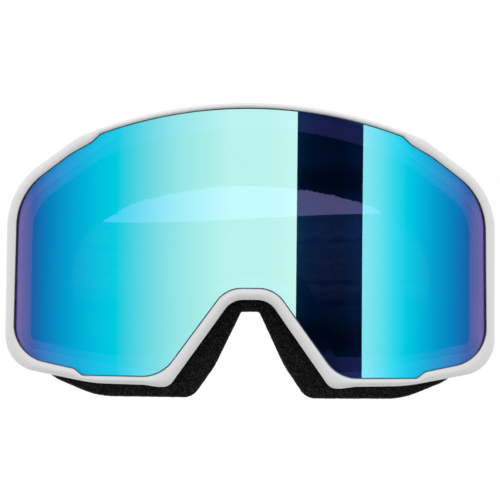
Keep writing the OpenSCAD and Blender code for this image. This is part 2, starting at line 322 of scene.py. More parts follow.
def ring(name, half_rows, materials, sharp=True):
    """A closed ring: rows of both halves, each joined to the next, and the last to the first."""
    rows = [full_loop(r) for r in half_rows]
    n, m = len(rows[0]), len(rows)
    faces = []
    for k in range(m):
        a, b = k * n, ((k + 1) % m) * n
        faces += [(a + i, a + (i + 1) % n, b + (i + 1) % n, b + i) for i in range(n)]
    made = mesh_from(name, np.concatenate(rows), faces, materials)
    if sharp:
        weigh_normals(made)
    return made


def weigh_normals(piece):
    """Shade large faces flat beside their bevels, and keep sharp edges."""
    modifier = piece.modifiers.new("Even normals", "WEIGHTED_NORMAL")
    modifier.weight = 60
    modifier.keep_sharp = True


def plate(name, half_rows, depth_of, materials, rest_slot=1):
    """A curved plate from rows of (x, s, z), capped at both ends and cut into upright strips that bend.

    The first material is on the front, rest_slot's on the back, and a third one on the edge."""
    rows = [full_loop(r) for r in half_rows]
    n, m = len(rows[0]), len(rows)
    points = np.concatenate(rows)
    bm = bmesh.new()
    verts = [bm.verts.new(p) for p in points]
    for k in range(m - 1):
        a, b = k * n, (k + 1) * n
        for i in range(n):
            j = (i + 1) % n
            bm.faces.new((verts[a + i], verts[a + j], verts[b + j], verts[b + i]))
    bm.faces.new(verts[:n])
    bm.faces.new(verts[(m - 1) * n:])
    bmesh.ops.recalc_face_normals(bm, faces=bm.faces)
    widest = float(points[:, 0].max())
    for x in np.arange(-widest + 1, widest - 0.5, 1.5):
        everything = bm.verts[:] + bm.edges[:] + bm.faces[:]
        bmesh.ops.bisect_plane(bm, geom=everything, plane_co=(x, 0, 0), plane_no=(1, 0, 0), dist=1e-5)
    shallow = float(points[:, 1].min()) + 0.35
    bm.normal_update()
    for face in bm.faces:
        face.smooth = True
        edge = abs(face.normal.y) < 0.96 and len(materials) > 2
        front = all(v.co.y < shallow for v in face.verts)
        face.material_index = 2 if edge else 0 if front else rest_slot
    for v in bm.verts:
        v.co = Vector((v.co.x, float(depth_of(v.co.x, v.co.y)), v.co.z)) * MM
    mesh = bpy.data.meshes.new(name)
    bm.to_mesh(mesh)
    bm.free()
    made = new_object(name, mesh, materials)
    weigh_normals(made)
    return made


# ---------------------------------------------------------------- material helpers
def material(name):
    """A new material and its empty node tree."""
    made = bpy.data.materials.new(name)
    made.use_nodes = True
    made.node_tree.nodes.clear()
    return made, made.node_tree


def node(tree, kind, **values):
    """A new node, with each value set on the input of that name, or else on the node."""
    made = tree.nodes.new(kind)
    for key, value in values.items():
        if key in made.inputs:
            made.inputs[key].default_value = value
        else:
            setattr(made, key, value)
    return made


def link(tree, source, target):
    """Join one socket to another."""
    tree.links.new(source, target)


def principled(tree, colour, roughness, **values):
    """A Principled shader joined to the output. Other inputs are named with _ for each space."""
    shader = node(tree, "ShaderNodeBsdfPrincipled")
    shader.inputs["Base Color"].default_value = (*colour, 1)
    shader.inputs["Roughness"].default_value = roughness
    for key, value in values.items():
        shader.inputs[key.replace("_", " ")].default_value = value
    output = node(tree, "ShaderNodeOutputMaterial")
    link(tree, shader.outputs[0], output.inputs["Surface"])
    return shader


def noise(tree, scale, detail=4.0, roughness=0.55):
    """Noise in the object's own coordinates, with scale in waves per metre."""
    place = node(tree, "ShaderNodeTexCoord")
    made = node(tree, "ShaderNodeTexNoise")
    made.inputs["Scale"].default_value = scale
    made.inputs["Detail"].default_value = detail
    made.inputs["Roughness"].default_value = roughness
    link(tree, place.outputs["Object"], made.inputs["Vector"])
    return made


def ramp(tree, source, stops):
    """A colour ramp with (position, colour) stops."""
    made = node(tree, "ShaderNodeValToRGB")
    made.color_ramp.interpolation = "LINEAR"
    elements = made.color_ramp.elements
    while len(elements) < len(stops):
        elements.new(0.5)
    for element, (position, colour) in zip(elements, stops):
        element.position = position
        element.color = (*colour, 1)
    link(tree, source, made.inputs["Fac"])
    return made


def bump(tree, height, shader, distance, strength=1.0):
    """Bump on a shader from a height, with its distance in metres."""
    made = node(tree, "ShaderNodeBump")
    made.inputs["Strength"].default_value = strength
    made.inputs["Distance"].default_value = distance
    link(tree, height, made.inputs["Height"])
    link(tree, made.outputs[0], shader.inputs["Normal"])
    return made


def grey(level):
    """A grey as a colour."""
    return (level, level, level)


# ---------------------------------------------------------------- materials
def plastic(name, colour, roughness, grain=900.0, depth=0.00003, vary=0.06, **values):
    """Moulded plastic: a fine grain, and a little variation in colour and gloss."""
    made, tree = material(name)
    shader = principled(tree, colour, roughness, **values)
    fine = noise(tree, grain)
    broad = noise(tree, 35, 3)
    tint = [tuple(c * (1 - vary) for c in colour), tuple(min(c * (1 + vary), 1) for c in colour)]
    shade = ramp(tree, broad.outputs["Fac"], [(0.3, tint[0]), (0.7, tint[1])])
    link(tree, shade.outputs["Color"], shader.inputs["Base Color"])
    gloss = node(tree, "ShaderNodeMapRange")
    gloss.inputs["To Min"].default_value = roughness * 0.85
    gloss.inputs["To Max"].default_value = roughness * 1.15
    link(tree, broad.outputs["Fac"], gloss.inputs["Value"])
    link(tree, gloss.outputs[0], shader.inputs["Roughness"])
    bump(tree, fine.outputs["Fac"], shader, depth)
    return made


def foam(name, colour, cell, depth, sheen=0.0):
    """Open-cell foam or fleece, speckled, with cells of a size in metres."""
    made, tree = material(name)
    shader = principled(tree, colour, 0.95, Sheen_Weight=sheen, Sheen_Roughness=0.5)
    shader.inputs["Specular IOR Level"].default_value = 0.05
    place = node(tree, "ShaderNodeTexCoord")
    cells = node(tree, "ShaderNodeTexVoronoi")
    cells.feature = "F1"
    cells.inputs["Scale"].default_value = 1 / cell
    link(tree, place.outputs["Object"], cells.inputs["Vector"])
    fine = noise(tree, 1.3 / cell, 3, 0.75)
    mix = node(tree, "ShaderNodeMath", operation="MULTIPLY_ADD")
    mix.inputs[1].default_value = 0.45
    link(tree, cells.outputs["Distance"], mix.inputs[0])
    link(tree, fine.outputs["Fac"], mix.inputs[2])
    dark, pale = tuple(c * 0.25 for c in colour), tuple(c * 3.4 for c in colour)
    shade = ramp(tree, mix.outputs[0], [(0.5, dark), (0.72, colour), (0.92, pale)])
    link(tree, shade.outputs["Color"], shader.inputs["Base Color"])
    bump(tree, mix.outputs[0], shader, depth)
    return made


MIRROR_STOPS = [
    # place across the lens in mm, and the coating's colour there
    (-86, (0.110, 0.135, 0.36)),
    (-83, (0.065, 0.115, 0.34)),
    (-79.5, (0.004, 0.115, 0.38)),
    (-75, (0.0, 0.20, 0.505)),
    (-67, (0.0, 0.345, 0.63)),
    (-56, (0.0, 0.52, 0.72)),
    (-49, (0.0, 0.60, 0.745)),
    (-44, (0.05, 0.63, 0.745)),
    (-27, (0.29, 0.785, 0.785)),
    (-8, (0.49, 0.895, 0.835)),
    (5, (0.49, 0.895, 0.835)),
    (16, (0.55, 0.925, 0.865)),
    (43, (0.20, 0.77, 0.86)),
    (52, (0.03, 0.68, 0.82)),
    (57, (0.0, 0.59, 0.78)),
    (67, (0.0, 0.345, 0.62)),
    (75, (0.0, 0.20, 0.495)),
    (79.5, (0.004, 0.115, 0.38)),
    (83, (0.065, 0.115, 0.34)),
    (86, (0.110, 0.135, 0.36)),
]
TINT_STOPS = [
    # distance from the middle in mm, and the tint of what shows through the coating
    (0, (0.17, 0.15, 0.34)),
    (62, (0.17, 0.15, 0.34)),
    (77, (0.30, 0.12, 0.28)),
    (81, (0.34, 0.09, 0.22)),
    (85, (0.50, 0.10, 0.26)),
    (90, (0.50, 0.10, 0.26)),
]
PAINTED_SHADE_STOPS = [
    # height in mm, and how much of what shows through the lens gets through there: painted shade, a dark band
    # from -35 to -21 mm across the lens's middle
    (-50, grey(1.0)),
    (-37.5, grey(0.8)),
    (-35, grey(0.02)),
    (-21, grey(0.02)),
    (-14, grey(0.9)),
    (60, grey(1.0)),
]


def ramp_over(tree, source, stops):
    """A colour ramp over a coordinate, with its stops' places in mm."""
    low, high = stops[0][0], stops[-1][0]
    share = node(tree, "ShaderNodeMapRange")
    share.inputs["From Min"].default_value = low * MM
    share.inputs["From Max"].default_value = high * MM
    link(tree, source, share.inputs["Value"])
    return ramp(tree, share.outputs[0], [((place - low) / (high - low), colour) for place, colour in stops])


def mirror_lens():
    """A mirror coating that goes from mint over cyan to blue at the sides, over a tint that changes towards
    the sides, with painted shade darkening what shows through in a low band across the middle.
    """
    made, tree = material("mirror_coating")
    place = node(tree, "ShaderNodeTexCoord")
    split = node(tree, "ShaderNodeSeparateXYZ")
    link(tree, place.outputs["Object"], split.inputs[0])
    side = node(tree, "ShaderNodeMath", operation="ABSOLUTE")
    link(tree, split.outputs["X"], side.inputs[0])
    colours = ramp_over(tree, split.outputs["X"], MIRROR_STOPS)
    shader = node(tree, "ShaderNodeBsdfPrincipled")
    shader.inputs["Metallic"].default_value = 1.0
    shader.inputs["Roughness"].default_value = 0.02
    link(tree, colours.outputs["Color"], shader.inputs["Base Color"])
    film = noise(tree, 60, 2)
    bump(tree, film.outputs["Fac"], shader, 0.00002, 0.12)
    tint = ramp_over(tree, side.outputs[0], TINT_STOPS)
    # Painted shade: what shows through the lens is darkened in a low band across its middle, fading out
    # between 64 and 74 mm towards the sides.
    shade = ramp_over(tree, split.outputs["Z"], PAINTED_SHADE_STOPS)
    flank = node(tree, "ShaderNodeMapRange")
    flank.inputs["From Min"].default_value = 64 * MM
    flank.inputs["From Max"].default_value = 74 * MM
    link(tree, side.outputs[0], flank.inputs["Value"])
    painted_shade_middle = node(tree, "ShaderNodeMix", data_type="RGBA", blend_type="MIX")
    painted_shade_middle.inputs[7].default_value = (1, 1, 1, 1)
    link(tree, flank.outputs[0], painted_shade_middle.inputs[0])
    link(tree, shade.outputs["Color"], painted_shade_middle.inputs[6])
    tint_and_painted_shade = node(tree, "ShaderNodeMix", data_type="RGBA", blend_type="MULTIPLY")
    tint_and_painted_shade.inputs[0].default_value = 1.0
    link(tree, tint.outputs["Color"], tint_and_painted_shade.inputs[6])
    link(tree, painted_shade_middle.outputs[2], tint_and_painted_shade.inputs[7])
    through = node(tree, "ShaderNodeBsdfTransparent")
    link(tree, tint_and_painted_shade.outputs[2], through.inputs["Color"])
    both = node(tree, "ShaderNodeAddShader")
    link(tree, shader.outputs[0], both.inputs[0])
    link(tree, through.outputs[0], both.inputs[1])
    output = node(tree, "ShaderNodeOutputMaterial")
    link(tree, both.outputs[0], output.inputs["Surface"])
    return made


def clear(name, tint, gloss=0.05):
    """A clear sheet that tints what is behind it and shines a little."""
    made, tree = material(name)
    through = node(tree, "ShaderNodeBsdfTransparent")
    through.inputs["Color"].default_value = (*tint, 1)
    shine = node(tree, "ShaderNodeBsdfPrincipled")
    shine.inputs["Base Color"].default_value = (0.02, 0.02, 0.03, 1)
    shine.inputs["Roughness"].default_value = 0.08
    mix = node(tree, "ShaderNodeMixShader")
    mix.inputs["Fac"].default_value = gloss
    link(tree, through.outputs[0], mix.inputs[1])
    link(tree, shine.outputs[0], mix.inputs[2])
    output = node(tree, "ShaderNodeOutputMaterial")
    link(tree, mix.outputs[0], output.inputs["Surface"])
    return made


def webbing(name, colour, stripe):
    """Woven elastic: ribs across the strap and threads along it, with dark lines and bound edges.

    It is laid out in the strap's own measure: X along it, Y its height."""
    made, tree = material(name)
    shader = principled(tree, colour, 0.85, Sheen_Weight=0.35, Sheen_Roughness=0.4)
    measure = node(tree, "ShaderNodeUVMap", uv_map="Cloth")
    split = node(tree, "ShaderNodeSeparateXYZ")
    link(tree, measure.outputs[0], split.inputs[0])

    def wave(source, period):
        """A sine over the strap's own measure, with its period in metres."""
        scaled = node(tree, "ShaderNodeMath", operation="MULTIPLY")
        scaled.inputs[1].default_value = 2 * math.pi / period
        link(tree, source, scaled.inputs[0])
        made_wave = node(tree, "ShaderNodeMath", operation="SINE")
        link(tree, scaled.outputs[0], made_wave.inputs[0])
        return made_wave.outputs[0]

    ribs = wave(split.outputs["X"], 0.0016)
    threads = wave(split.outputs["Y"], 0.0011)
    product = node(tree, "ShaderNodeMath", operation="MULTIPLY_ADD")
    product.inputs[2].default_value = 0.5
    link(tree, ribs, product.inputs[0])
    link(tree, threads, product.inputs[1])
    fuzz = noise(tree, 1500, 3)
    height = node(tree, "ShaderNodeMath", operation="MULTIPLY_ADD")
    height.inputs[1].default_value = 0.6
    link(tree, fuzz.outputs["Fac"], height.inputs[0])
    link(tree, product.outputs[0], height.inputs[2])
    heather = noise(tree, 420, 4, 0.7)
    blend = node(tree, "ShaderNodeMath", operation="MULTIPLY_ADD")
    blend.inputs[1].default_value = 0.22
    link(tree, product.outputs[0], blend.inputs[0])
    link(tree, heather.outputs["Fac"], blend.inputs[2])
    dark, pale = tuple(c * 0.4 for c in colour), tuple(c * 1.9 for c in colour)
    shade = ramp(tree, blend.outputs[0], [(0.42, dark), (0.8, pale)])
    bound, plain = grey(0.55), grey(1.0)
    across = [(STRAP_LOW, bound), (STRAP_LOW + 3.0, bound), (STRAP_LOW + 3.3, plain)]
    for line in (10.0, 26.0):
        centre = STRAP_LOW + line
        across += [(centre - 1.0, plain), (centre - 0.8, stripe)]
        across += [(centre + 0.8, stripe), (centre + 1.0, plain)]
    across += [(STRAP_HIGH - 3.0, plain), (STRAP_HIGH - 2.7, bound), (STRAP_HIGH, bound)]
    lines = ramp_over(tree, split.outputs["Y"], across)
    striped = node(tree, "ShaderNodeMix", data_type="RGBA", blend_type="MULTIPLY")
    striped.inputs[0].default_value = 1.0
    link(tree, shade.outputs["Color"], striped.inputs[6])
    link(tree, lines.outputs["Color"], striped.inputs[7])
    link(tree, striped.outputs[2], shader.inputs["Base Color"])
    bump(tree, height.outputs[0], shader, 0.0003)
    return made


RIM_WHITE = plastic("rim_white", (0.78, 0.78, 0.785), 0.36, 700, 0.000012, 0.015, Coat_Weight=0.15)

ARM_BLACK = plastic("arm_black", (0.022, 0.022, 0.025), 0.5, 2200, 0.00004, 0.2)
ADJUSTER_BLACK = plastic("adjuster_black", (0.02, 0.02, 0.022), 0.38, 1200, 0.00002, 0.2)
STUD_PALE = plastic("stud_pale", (0.7, 0.7, 0.71), 0.5)
STEEL = plastic("steel", (0.55, 0.55, 0.57), 0.3, 3000, 0.00001, 0.05, Metallic=1.0)
SILICONE = plastic("silicone", (0.07, 0.07, 0.075), 0.4, 500, 0.00002, 0.1)
GASKET = plastic("gasket_foam", (0.48, 0.38, 0.42), 0.9, 1500, 0.00003, 0.03)
FRAME_BLACK = foam("frame_black", (0.0105, 0.0105, 0.011), 0.0007, 0.0004)
FIRM_FOAM = foam("firm_foam", (0.0105, 0.0105, 0.011), 0.0009, 0.0008)
SOFT_FOAM = foam("soft_foam", (0.0095, 0.0095, 0.010), 0.0013, 0.001)
FLEECE = foam("fleece", (0.010, 0.010, 0.0105), 0.0010, 0.0008, 0.05)
VENT_FOAM = foam("vent_foam", (0.05, 0.05, 0.052), 0.0022, 0.0009)
MIRROR = mirror_lens()
# The lens's edge is near black: partly the tinted edge seen end on, partly painted shadow of the gap between
# the lens and the rim.
LENS_EDGE_AND_GAP_SHADOW = plastic("lens_edge", (0.006, 0.010, 0.016), 0.3, 600, 0.00001)
LENS_BODY = clear("lens_tint", (0.95, 0.96, 0.97), 0.04)
CLEAR_FILM = clear("clear_film", (0.72, 0.73, 0.76), 0.06)
THREAD = plastic("thread", (0.10, 0.10, 0.105), 0.7, 4000, 0.0001, 0.2)
WEBBING = webbing("webbing", (0.075, 0.076, 0.082), grey(0.22))

# ---------------------------------------------------------------- the rim
hole = curve(inset(LENS, [-LENS_GAP] * len(LENS)))
KEYS = LENS
rim_edge = paired(hole, curve(RIM_WITH_FOOT, FINE), KEYS)
border = np.linalg.norm(rim_edge - hole, axis=1)
outer_share = np.minimum(0.5, 2.4 / border)
inner_share = np.minimum(0.42, 2.0 / border)


def lip_depth(back):
    """Depth of the rim's front, set back by a distance."""
    return lambda x: front_y(x, -LIP) + back


def lip_row(share, back):
    """A row on the rim's face, at a share of the way from its outer edge to the lens."""
    points = rim_edge + (hole - rim_edge) * np.reshape(share, (-1, 1))
    return np.stack([points[:, 0], lip_depth(back)(points[:, 0]), points[:, 1]], axis=1)


def rim_rows():
    """Rows round the rim's section: forwards along its wall, over its lip, and down to the ledge."""
    ledge = paired(hole, curve(inset(RIM, LEDGE_BANDS), FINE), KEYS, -4)
    rear = lambda back: (lambda x: face_y(x, RIM_REAR) - back)
    wall_front = row(rim_edge, lip_depth(2.6))
    wall_rear = row(rim_edge, rear(0.7))
    rows = [
        row(rim_edge, rear(0), WALL),
        row(rim_edge, rear(0), 0.7),
        row(rim_edge, rear(0.2), 0.2),
        wall_rear,
        between(wall_rear, wall_front, 0.35),
        between(wall_rear, wall_front, 0.7),
        wall_front,
        lip_row(0.06 * outer_share, 1.85),
        lip_row(0.22 * outer_share, 1.2),
        lip_row(0.46 * outer_share, 0.65),
        lip_row(0.72 * outer_share, 0.24),
        lip_row(outer_share, 0),
        lip_row(1 - inner_share, 0),
        lip_row(1 - 0.7 * inner_share, 0.14),
        lip_row(1 - 0.35 * inner_share, 0.46),
        lip_row(1 - 0.1 * inner_share, 0.8),
        lip_row(np.ones_like(border), 1.15),
        row(hole, lens_depth(LEDGE_S)),
        row(ledge, lens_depth(LEDGE_S)),
        row(ledge, lens_depth(LEDGE_S + LEDGE_T)),
        row(rim_edge, lens_depth(LEDGE_S + LEDGE_T), WALL),
    ]
    return rows


# Middles and widths of the rim's vents, and how far behind the lens's front they start and end
TOP_VENTS = (-40, -20, 0, 20, 40)
TOP_VENT_W = 12
LOW_VENTS = (-56.5, -47.5, -38.5, 38.5, 47.5, 56.5)
LOW_VENT_W = 7
VENT_REACH = (5.0, 13.0)


def vent_cutter():
    """Blocks that follow the lens's curve, one for each vent through the rim's wall."""
    bm = bmesh.new()
    vents = [(x, TOP_VENT_W, 35, 60) for x in TOP_VENTS] + [(x, LOW_VENT_W, -60, -42) for x in LOW_VENTS]
    for x, width, low, high in vents:
        corners = []
        for end in (x - width / 2, x + width / 2):
            for s in VENT_REACH:
                for z in (low, high):
                    corners.append(bm.verts.new(Vector((end, float(front_y(end, s)), z)) * MM))
        bmesh.ops.convex_hull(bm, input=corners)
        bmesh.ops.dissolve_limit(bm, angle_limit=0.01, verts=corners, edges=bm.edges)
    upright = [e for e in bm.edges if abs(e.verts[0].co.z - e.verts[1].co.z) > 5 * MM]
    bmesh.ops.bevel(bm, geom=upright, offset=1.6 * MM, segments=5, affect="EDGES", profile=0.5)
    mesh = bpy.data.meshes.new("vent_cutter")
    bm.to_mesh(mesh)
    bm.free()
    return new_object("vent_cutter", mesh, [])


def cut_away(piece, cutter):
    """Cut a shape out of a piece for good."""
    modifier = piece.modifiers.new("Cut", "BOOLEAN")
    modifier.operation = "DIFFERENCE"
    modifier.object = cutter
    modifier.solver = "EXACT"
    bpy.context.view_layer.update()
    evaluated = piece.evaluated_get(bpy.context.evaluated_depsgraph_get())
    mesh = bpy.data.meshes.new_from_object(evaluated)
    piece.modifiers.remove(modifier)
    piece.data = mesh
    bpy.data.objects.remove(cutter)
    mesh.shade_smooth()
    mesh.set_sharp_from_angle(angle=math.radians(42))


rim = ring("front_rim", rim_rows(), [RIM_WHITE], sharp=False)
cut_away(rim, vent_cutter())
weigh_normals(rim)
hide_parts("front_frame")
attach(rim, "frame")

# ---------------------------------------------------------------- the lens unit
def flat_row(points, s, offset=0.0):
    """A row with its depth kept as a number, for a plate that is bent afterwards."""
    made = row(points, lambda x: np.full_like(x, s), offset)
    return made


lens_edge = curve(LENS)
outer_lens = plate(
    "mirror_lens",
    [
        flat_row(lens_edge, 0.0, 0.16),
        flat_row(lens_edge, 0.05, 0.04),
        flat_row(lens_edge, 0.16),
        flat_row(lens_edge, LENS_T),
    ],
    front_y,
    [MIRROR, LENS_BODY, LENS_EDGE_AND_GAP_SHADOW],
)
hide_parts("outer_lens")
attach(outer_lens, "lens_unit")

inner_edge = curve(inset(RIM, INNER_LENS_BANDS))
GASKET_S = LENS_T + GASKET_T
inner_lens = plate(
    "inner_lens_sheet",
    [flat_row(inner_edge, GASKET_S), flat_row(inner_edge, GASKET_S + INNER_T)],
    front_y,
    [CLEAR_FILM],
    rest_slot=0,
)
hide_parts("inner_lens")
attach(inner_lens, "lens_unit")

gasket_out = curve(inset(RIM, GASKET_OUTER_BANDS))
gasket_keys = inset(RIM, GASKET_OUTER_BANDS)
gasket_in = paired(gasket_out, curve(inset(RIM, GASKET_INNER_BANDS), FINE), gasket_keys, -3)
gasket = ring(
    "lens_seal",
    [
        row(gasket_out, lens_depth(LENS_T + 0.02)),
        row(gasket_out, lens_depth(LENS_T + GASKET_T / 2), 0.3),
        row(gasket_out, lens_depth(GASKET_S)),
        row(gasket_in, lens_depth(GASKET_S)),
        row(gasket_in, lens_depth(LENS_T + GASKET_T / 2), -0.4),
        row(gasket_in, lens_depth(LENS_T + 0.02)),
    ],
    [GASKET],
)
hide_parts("lens_gasket")
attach(gasket, "lens_unit")

# ---------------------------------------------------------------- the face foam
foam_edge = curve(FOAM, 900)
foam_opening = paired(foam_edge, curve(OPENING, FINE), FOAM, -12)


def ragged(count, size, seed):
    """Small cut-edge irregularities, the same each run, as distances in mm."""
    spots = np.linspace(0, 1, count)
    waves = np.random.default_rng(seed)
    total = np.zeros(count)
    for number in (23, 41, 67, 97, 151, 211):
        total += waves.uniform(0.4, 1.0) * np.sin(2 * math.pi * (number * spots + waves.uniform()))
    return size * total / 3


FELT = bpy.data.textures.new("felt", "CLOUDS")
FELT.noise_scale = 1.4 * MM
FELT.noise_depth = 2


def foam_ring(name, node_name, material_used, trim, puff, face_rows):
    """One bonded layer: rounded sides that bulge a little, and a rear face between them."""
    near, far = FOAM_LAYERS[node_name]
    middle, thick = (near + far) / 2, far - near
    edge = 0.16 * thick
    sides = [(0.6, far), (0.15, far - edge * 0.4), (0.0, far - edge), (-puff, middle),
             (0.0, near + edge), (0.25, near + edge * 0.3), (0.9, near)]
    rows = [row(foam_edge, face_depth(s), trim + d) for d, s in sides]
    outside = row(foam_edge, face_depth(near), trim + 0.9)
    inside = row(foam_opening, face_depth(near), -trim - 0.9)
    for share in face_rows:
        rows.append(between(outside, inside, share))
    cut = ragged(len(foam_opening), 1.2 if material_used is FLEECE else 0.4, len(name))
    rows += [row(foam_opening, face_depth(s), -trim - d + cut) for d, s in reversed(sides)]
    made = ring(name, rows, [material_used], sharp=False)
    felt = made.modifiers.new("Felted surface", "DISPLACE")
    felt.texture = FELT
    felt.texture_coords = "LOCAL"
    felt.strength = 0.2 * MM
    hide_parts(node_name)
    return made


base = foam_ring("foam_base_layer", "foam_base", FIRM_FOAM, 0.5, 0.1, ())
middle = foam_ring("foam_middle_layer", "foam_middle", SOFT_FOAM, 0.1, 0.5, ())
fleece = foam_ring("foam_fleece_layer", "foam_fleece", FLEECE, 0.4, 0.3,
                   (0.12, 0.3, 0.5, 0.7, 0.88))
for layer in (base, middle, fleece):
    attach(layer, "frame")

# ---------------------------------------------------------------- the strap
JOIN_Y = 60.0
MID_OUT = STRAP_OUT - STRAP_T / 2
MID_IN = STRAP_IN + STRAP_T / 2
SKEW, SAG = 0.065, 0.5


def plan_line(points, radius_steps=1.0):
    """A line in plan, evenly spaced."""
    points = np.array(points, float)
    return evenly(points, max(int(lengths(points)[-1] / radius_steps), 2))


def band_section():
    """The strap's cross-section as (across, height): bound edges, a groove inside each, and soft ribs."""
    low, high = STRAP_LOW + 0.6, STRAP_HIGH
    half = STRAP_T / 2
    heights = np.linspace(low + 0.35, high - 0.35, 73)
    from_edge = np.minimum(heights - low, high - heights)
    binding = 0.16 * np.exp(-((from_edge - 1.3) / 0.7) ** 2)
    groove = -0.30 * np.exp(-((from_edge - 2.7) / 0.4) ** 2)
    ribs = 0.11 * np.cos(2 * math.pi * heights / 3.1) * (from_edge > 3.4)
    side = half + binding + groove + ribs
    inner = [(-d, z) for d, z in zip(side, heights)]
    outer = [(d, z) for d, z in zip(side[::-1], heights[::-1])]
    over = [(-half * 0.6, high - 0.1), (0, high), (half * 0.6, high - 0.1)]
    under = [(half * 0.6, low + 0.1), (0, low), (-half * 0.6, low + 0.1)]
    return inner + over + outer + under


def hang(x, y):
    """How far the strap's free back hangs: a little down, and askew from one side to the other."""
    back = max(0.0, (y - STRAP_BACK) / MID_OUT)
    return (SKEW * x - SAG) * back ** 2


def ribbon(name, path):
    """A strap along a line in plan, with a UV map that measures the cloth in metres."""
    tangents = np.gradient(path, axis=0)
    tangents /= np.linalg.norm(tangents, axis=1)[:, None]
    normals = np.stack([tangents[:, 1], -tangents[:, 0]], axis=1)
    section = band_section()
    n = len(section)
    run = lengths(path)
    points, measure = [], []
    for spot, normal, distance in zip(path, normals, run):
        for d, z in section:
            points.append((spot[0] + normal[0] * d, spot[1] + normal[1] * d, z + hang(*spot)))
            measure.append((distance * MM, z * MM))
    faces = []
    for k in range(len(path) - 1):
        a, b = k * n, (k + 1) * n
        faces += [(a + i, a + (i + 1) % n, b + (i + 1) % n, b + i) for i in range(n)]
    faces.append(tuple(range(n)))
    faces.append(tuple(range((len(path) - 1) * n, len(path) * n))[::-1])
    mesh = bpy.data.meshes.new(name)
    mesh.from_pydata([tuple(np.array(p) * MM) for p in points], [], faces)
    layer = mesh.uv_layers.new(name="Cloth")
    for loop in mesh.loops:
        layer.data[loop.index].uv = measure[loop.vertex_index]
    bm = bmesh.new()
    bm.from_mesh(mesh)
    bmesh.ops.recalc_face_normals(bm, faces=bm.faces)
    bm.to_mesh(mesh)
    bm.free()
    mesh.shade_smooth()
    made = new_object(name, mesh, [WEBBING])
    return made


def turn(centre, radius, start, end, steps=16):
    """Points along an arc in plan, from one angle to another in degrees."""
    angles = np.radians(np.linspace(start, end, steps))
    return [(centre[0] + radius * math.cos(a), centre[1] + radius * math.sin(a)) for a in angles]


back_path = [(MID_OUT, JOIN_Y)] + turn((0, STRAP_BACK), MID_OUT, 0, 180, 120) + [(-MID_OUT, JOIN_Y)]
band = ribbon("strap_head_band", plan_line(back_path))
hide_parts("strap_band")
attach(band, "frame")

for side, side_name in ((1, "left"), (-1, "right")):
    def mirrored(points):
        """Points in plan, on this side of the object."""
        return [(side * x, y) for x, y in points]

    loop_turn = turn((ARM_X, LOOP_Y), STRAP_OUT - ARM_X - STRAP_T / 2, 0, -180)
    loop_path = [(MID_OUT, JOIN_Y)] + loop_turn + [(MID_IN, 49.0)]
    loop = ribbon(f"strap_front_loop_{side_name}", plan_line(mirrored(loop_path), 0.5))
    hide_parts(f"strap_loop_{side_name}")
    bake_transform(loop)

    fold_out = STRAP_OUT - STRAP_T - 0.3
    fold_radius = (fold_out - STRAP_IN) / 2
    fold_turn = turn((STRAP_IN + fold_radius, ADJUSTER_Y + 1.2), fold_radius - STRAP_T / 2, 0, 180)
    fold_path = [(fold_out - STRAP_T / 2, ADJUSTER_Y - 7.5)] + fold_turn + [(MID_IN, 47.6)]
    fold = ribbon(f"strap_return_{side_name}", plan_line(mirrored(fold_path), 0.5))
    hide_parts(f"strap_fold_{side_name}")
    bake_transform(fold)


# ---------------------------------------------------------------- stitches, grip lines and ridges
def slug(bm, start, end, width, height):
    """A small round-ended bar from start to end, for a stitch or a ridge."""
    start, end = Vector(start), Vector(end)
    length = (end - start).length
    turn_to = (end - start).to_track_quat("X", "Z").to_matrix().to_4x4()
    size = Matrix.Diagonal((length / 2, width / 2, height / 2, 1))
    place = Matrix.Translation((start + end) / 2) @ turn_to @ size
    ball = bmesh.ops.create_uvsphere(bm, u_segments=10, v_segments=8, radius=1, matrix=place)["verts"]
    centre = (start + end) / 2
    direction = (end - start).normalized()
    for v in ball:
        share = (v.co - centre).dot(direction) / (length / 2)
        fuller = math.copysign(abs(share) ** 0.35, share)
        v.co += direction * (fuller - share) * length / 2


def slugs(name, bars, made_material, width, height, body):
    """Many small bars as one piece that rides on a body."""
    bm = bmesh.new()
    for start, end in bars:
        slug(bm, [c * MM for c in start], [c * MM for c in end], width * MM, height * MM)
    for face in bm.faces:
        face.smooth = True
    mesh = bpy.data.meshes.new(name)
    bm.to_mesh(mesh)
    bm.free()
    made_piece = new_object(name, mesh, [made_material])
    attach(made_piece, body)
    return made_piece


BARTACKS = (61.2, 63.0, 66.4, 68.2)
STITCH = 1.7
STITCH_PITCH = STITCH * 1.35
STITCH_W, STITCH_T = 0.42, 0.34
STITCH_LOW, STITCH_HIGH = STRAP_LOW + 4.5, STRAP_HIGH - 4.5
STITCH_FACE = STRAP_IN - 0.1
RIDGE_FACE = STRAP_OUT + 2.4
RIDGE_LOW, RIDGE_HIGH = STRAP_LOW + 3, STRAP_HIGH - 3
RIDGE_W = 0.5
BAR_OFFSET = 8.25
for side, side_name in ((1, "left"), (-1, "right")):
    stitches = []
    for y in BARTACKS:
        for z in np.arange(STITCH_LOW, STITCH_HIGH, STITCH_PITCH):
            stitches.append(((side * STITCH_FACE, y, z), (side * STITCH_FACE, y + 0.25, z + STITCH)))
    slugs(f"strap_stitches_{side_name}", stitches, THREAD, STITCH_W, STITCH_T,
          f"slider_{side_name}")

    ridges = []
    for bar_y in (ADJUSTER_Y - BAR_OFFSET, ADJUSTER_Y + BAR_OFFSET):
        for step in (-1.0, 0.0, 1.0):
            x, y = side * RIDGE_FACE, bar_y + step
            ridges.append(((x, y, RIDGE_LOW), (x, y, RIDGE_HIGH)))
    slugs(f"adjuster_ridges_{side_name}", ridges, ADJUSTER_BLACK, RIDGE_W, RIDGE_W,
          f"slider_{side_name}")

GRIP_WAVES = 50
GRIP_SWING = 0.9
GRIP_T, GRIP_HALF_H = 0.9, 1.2
GRIP_PITCH = 10


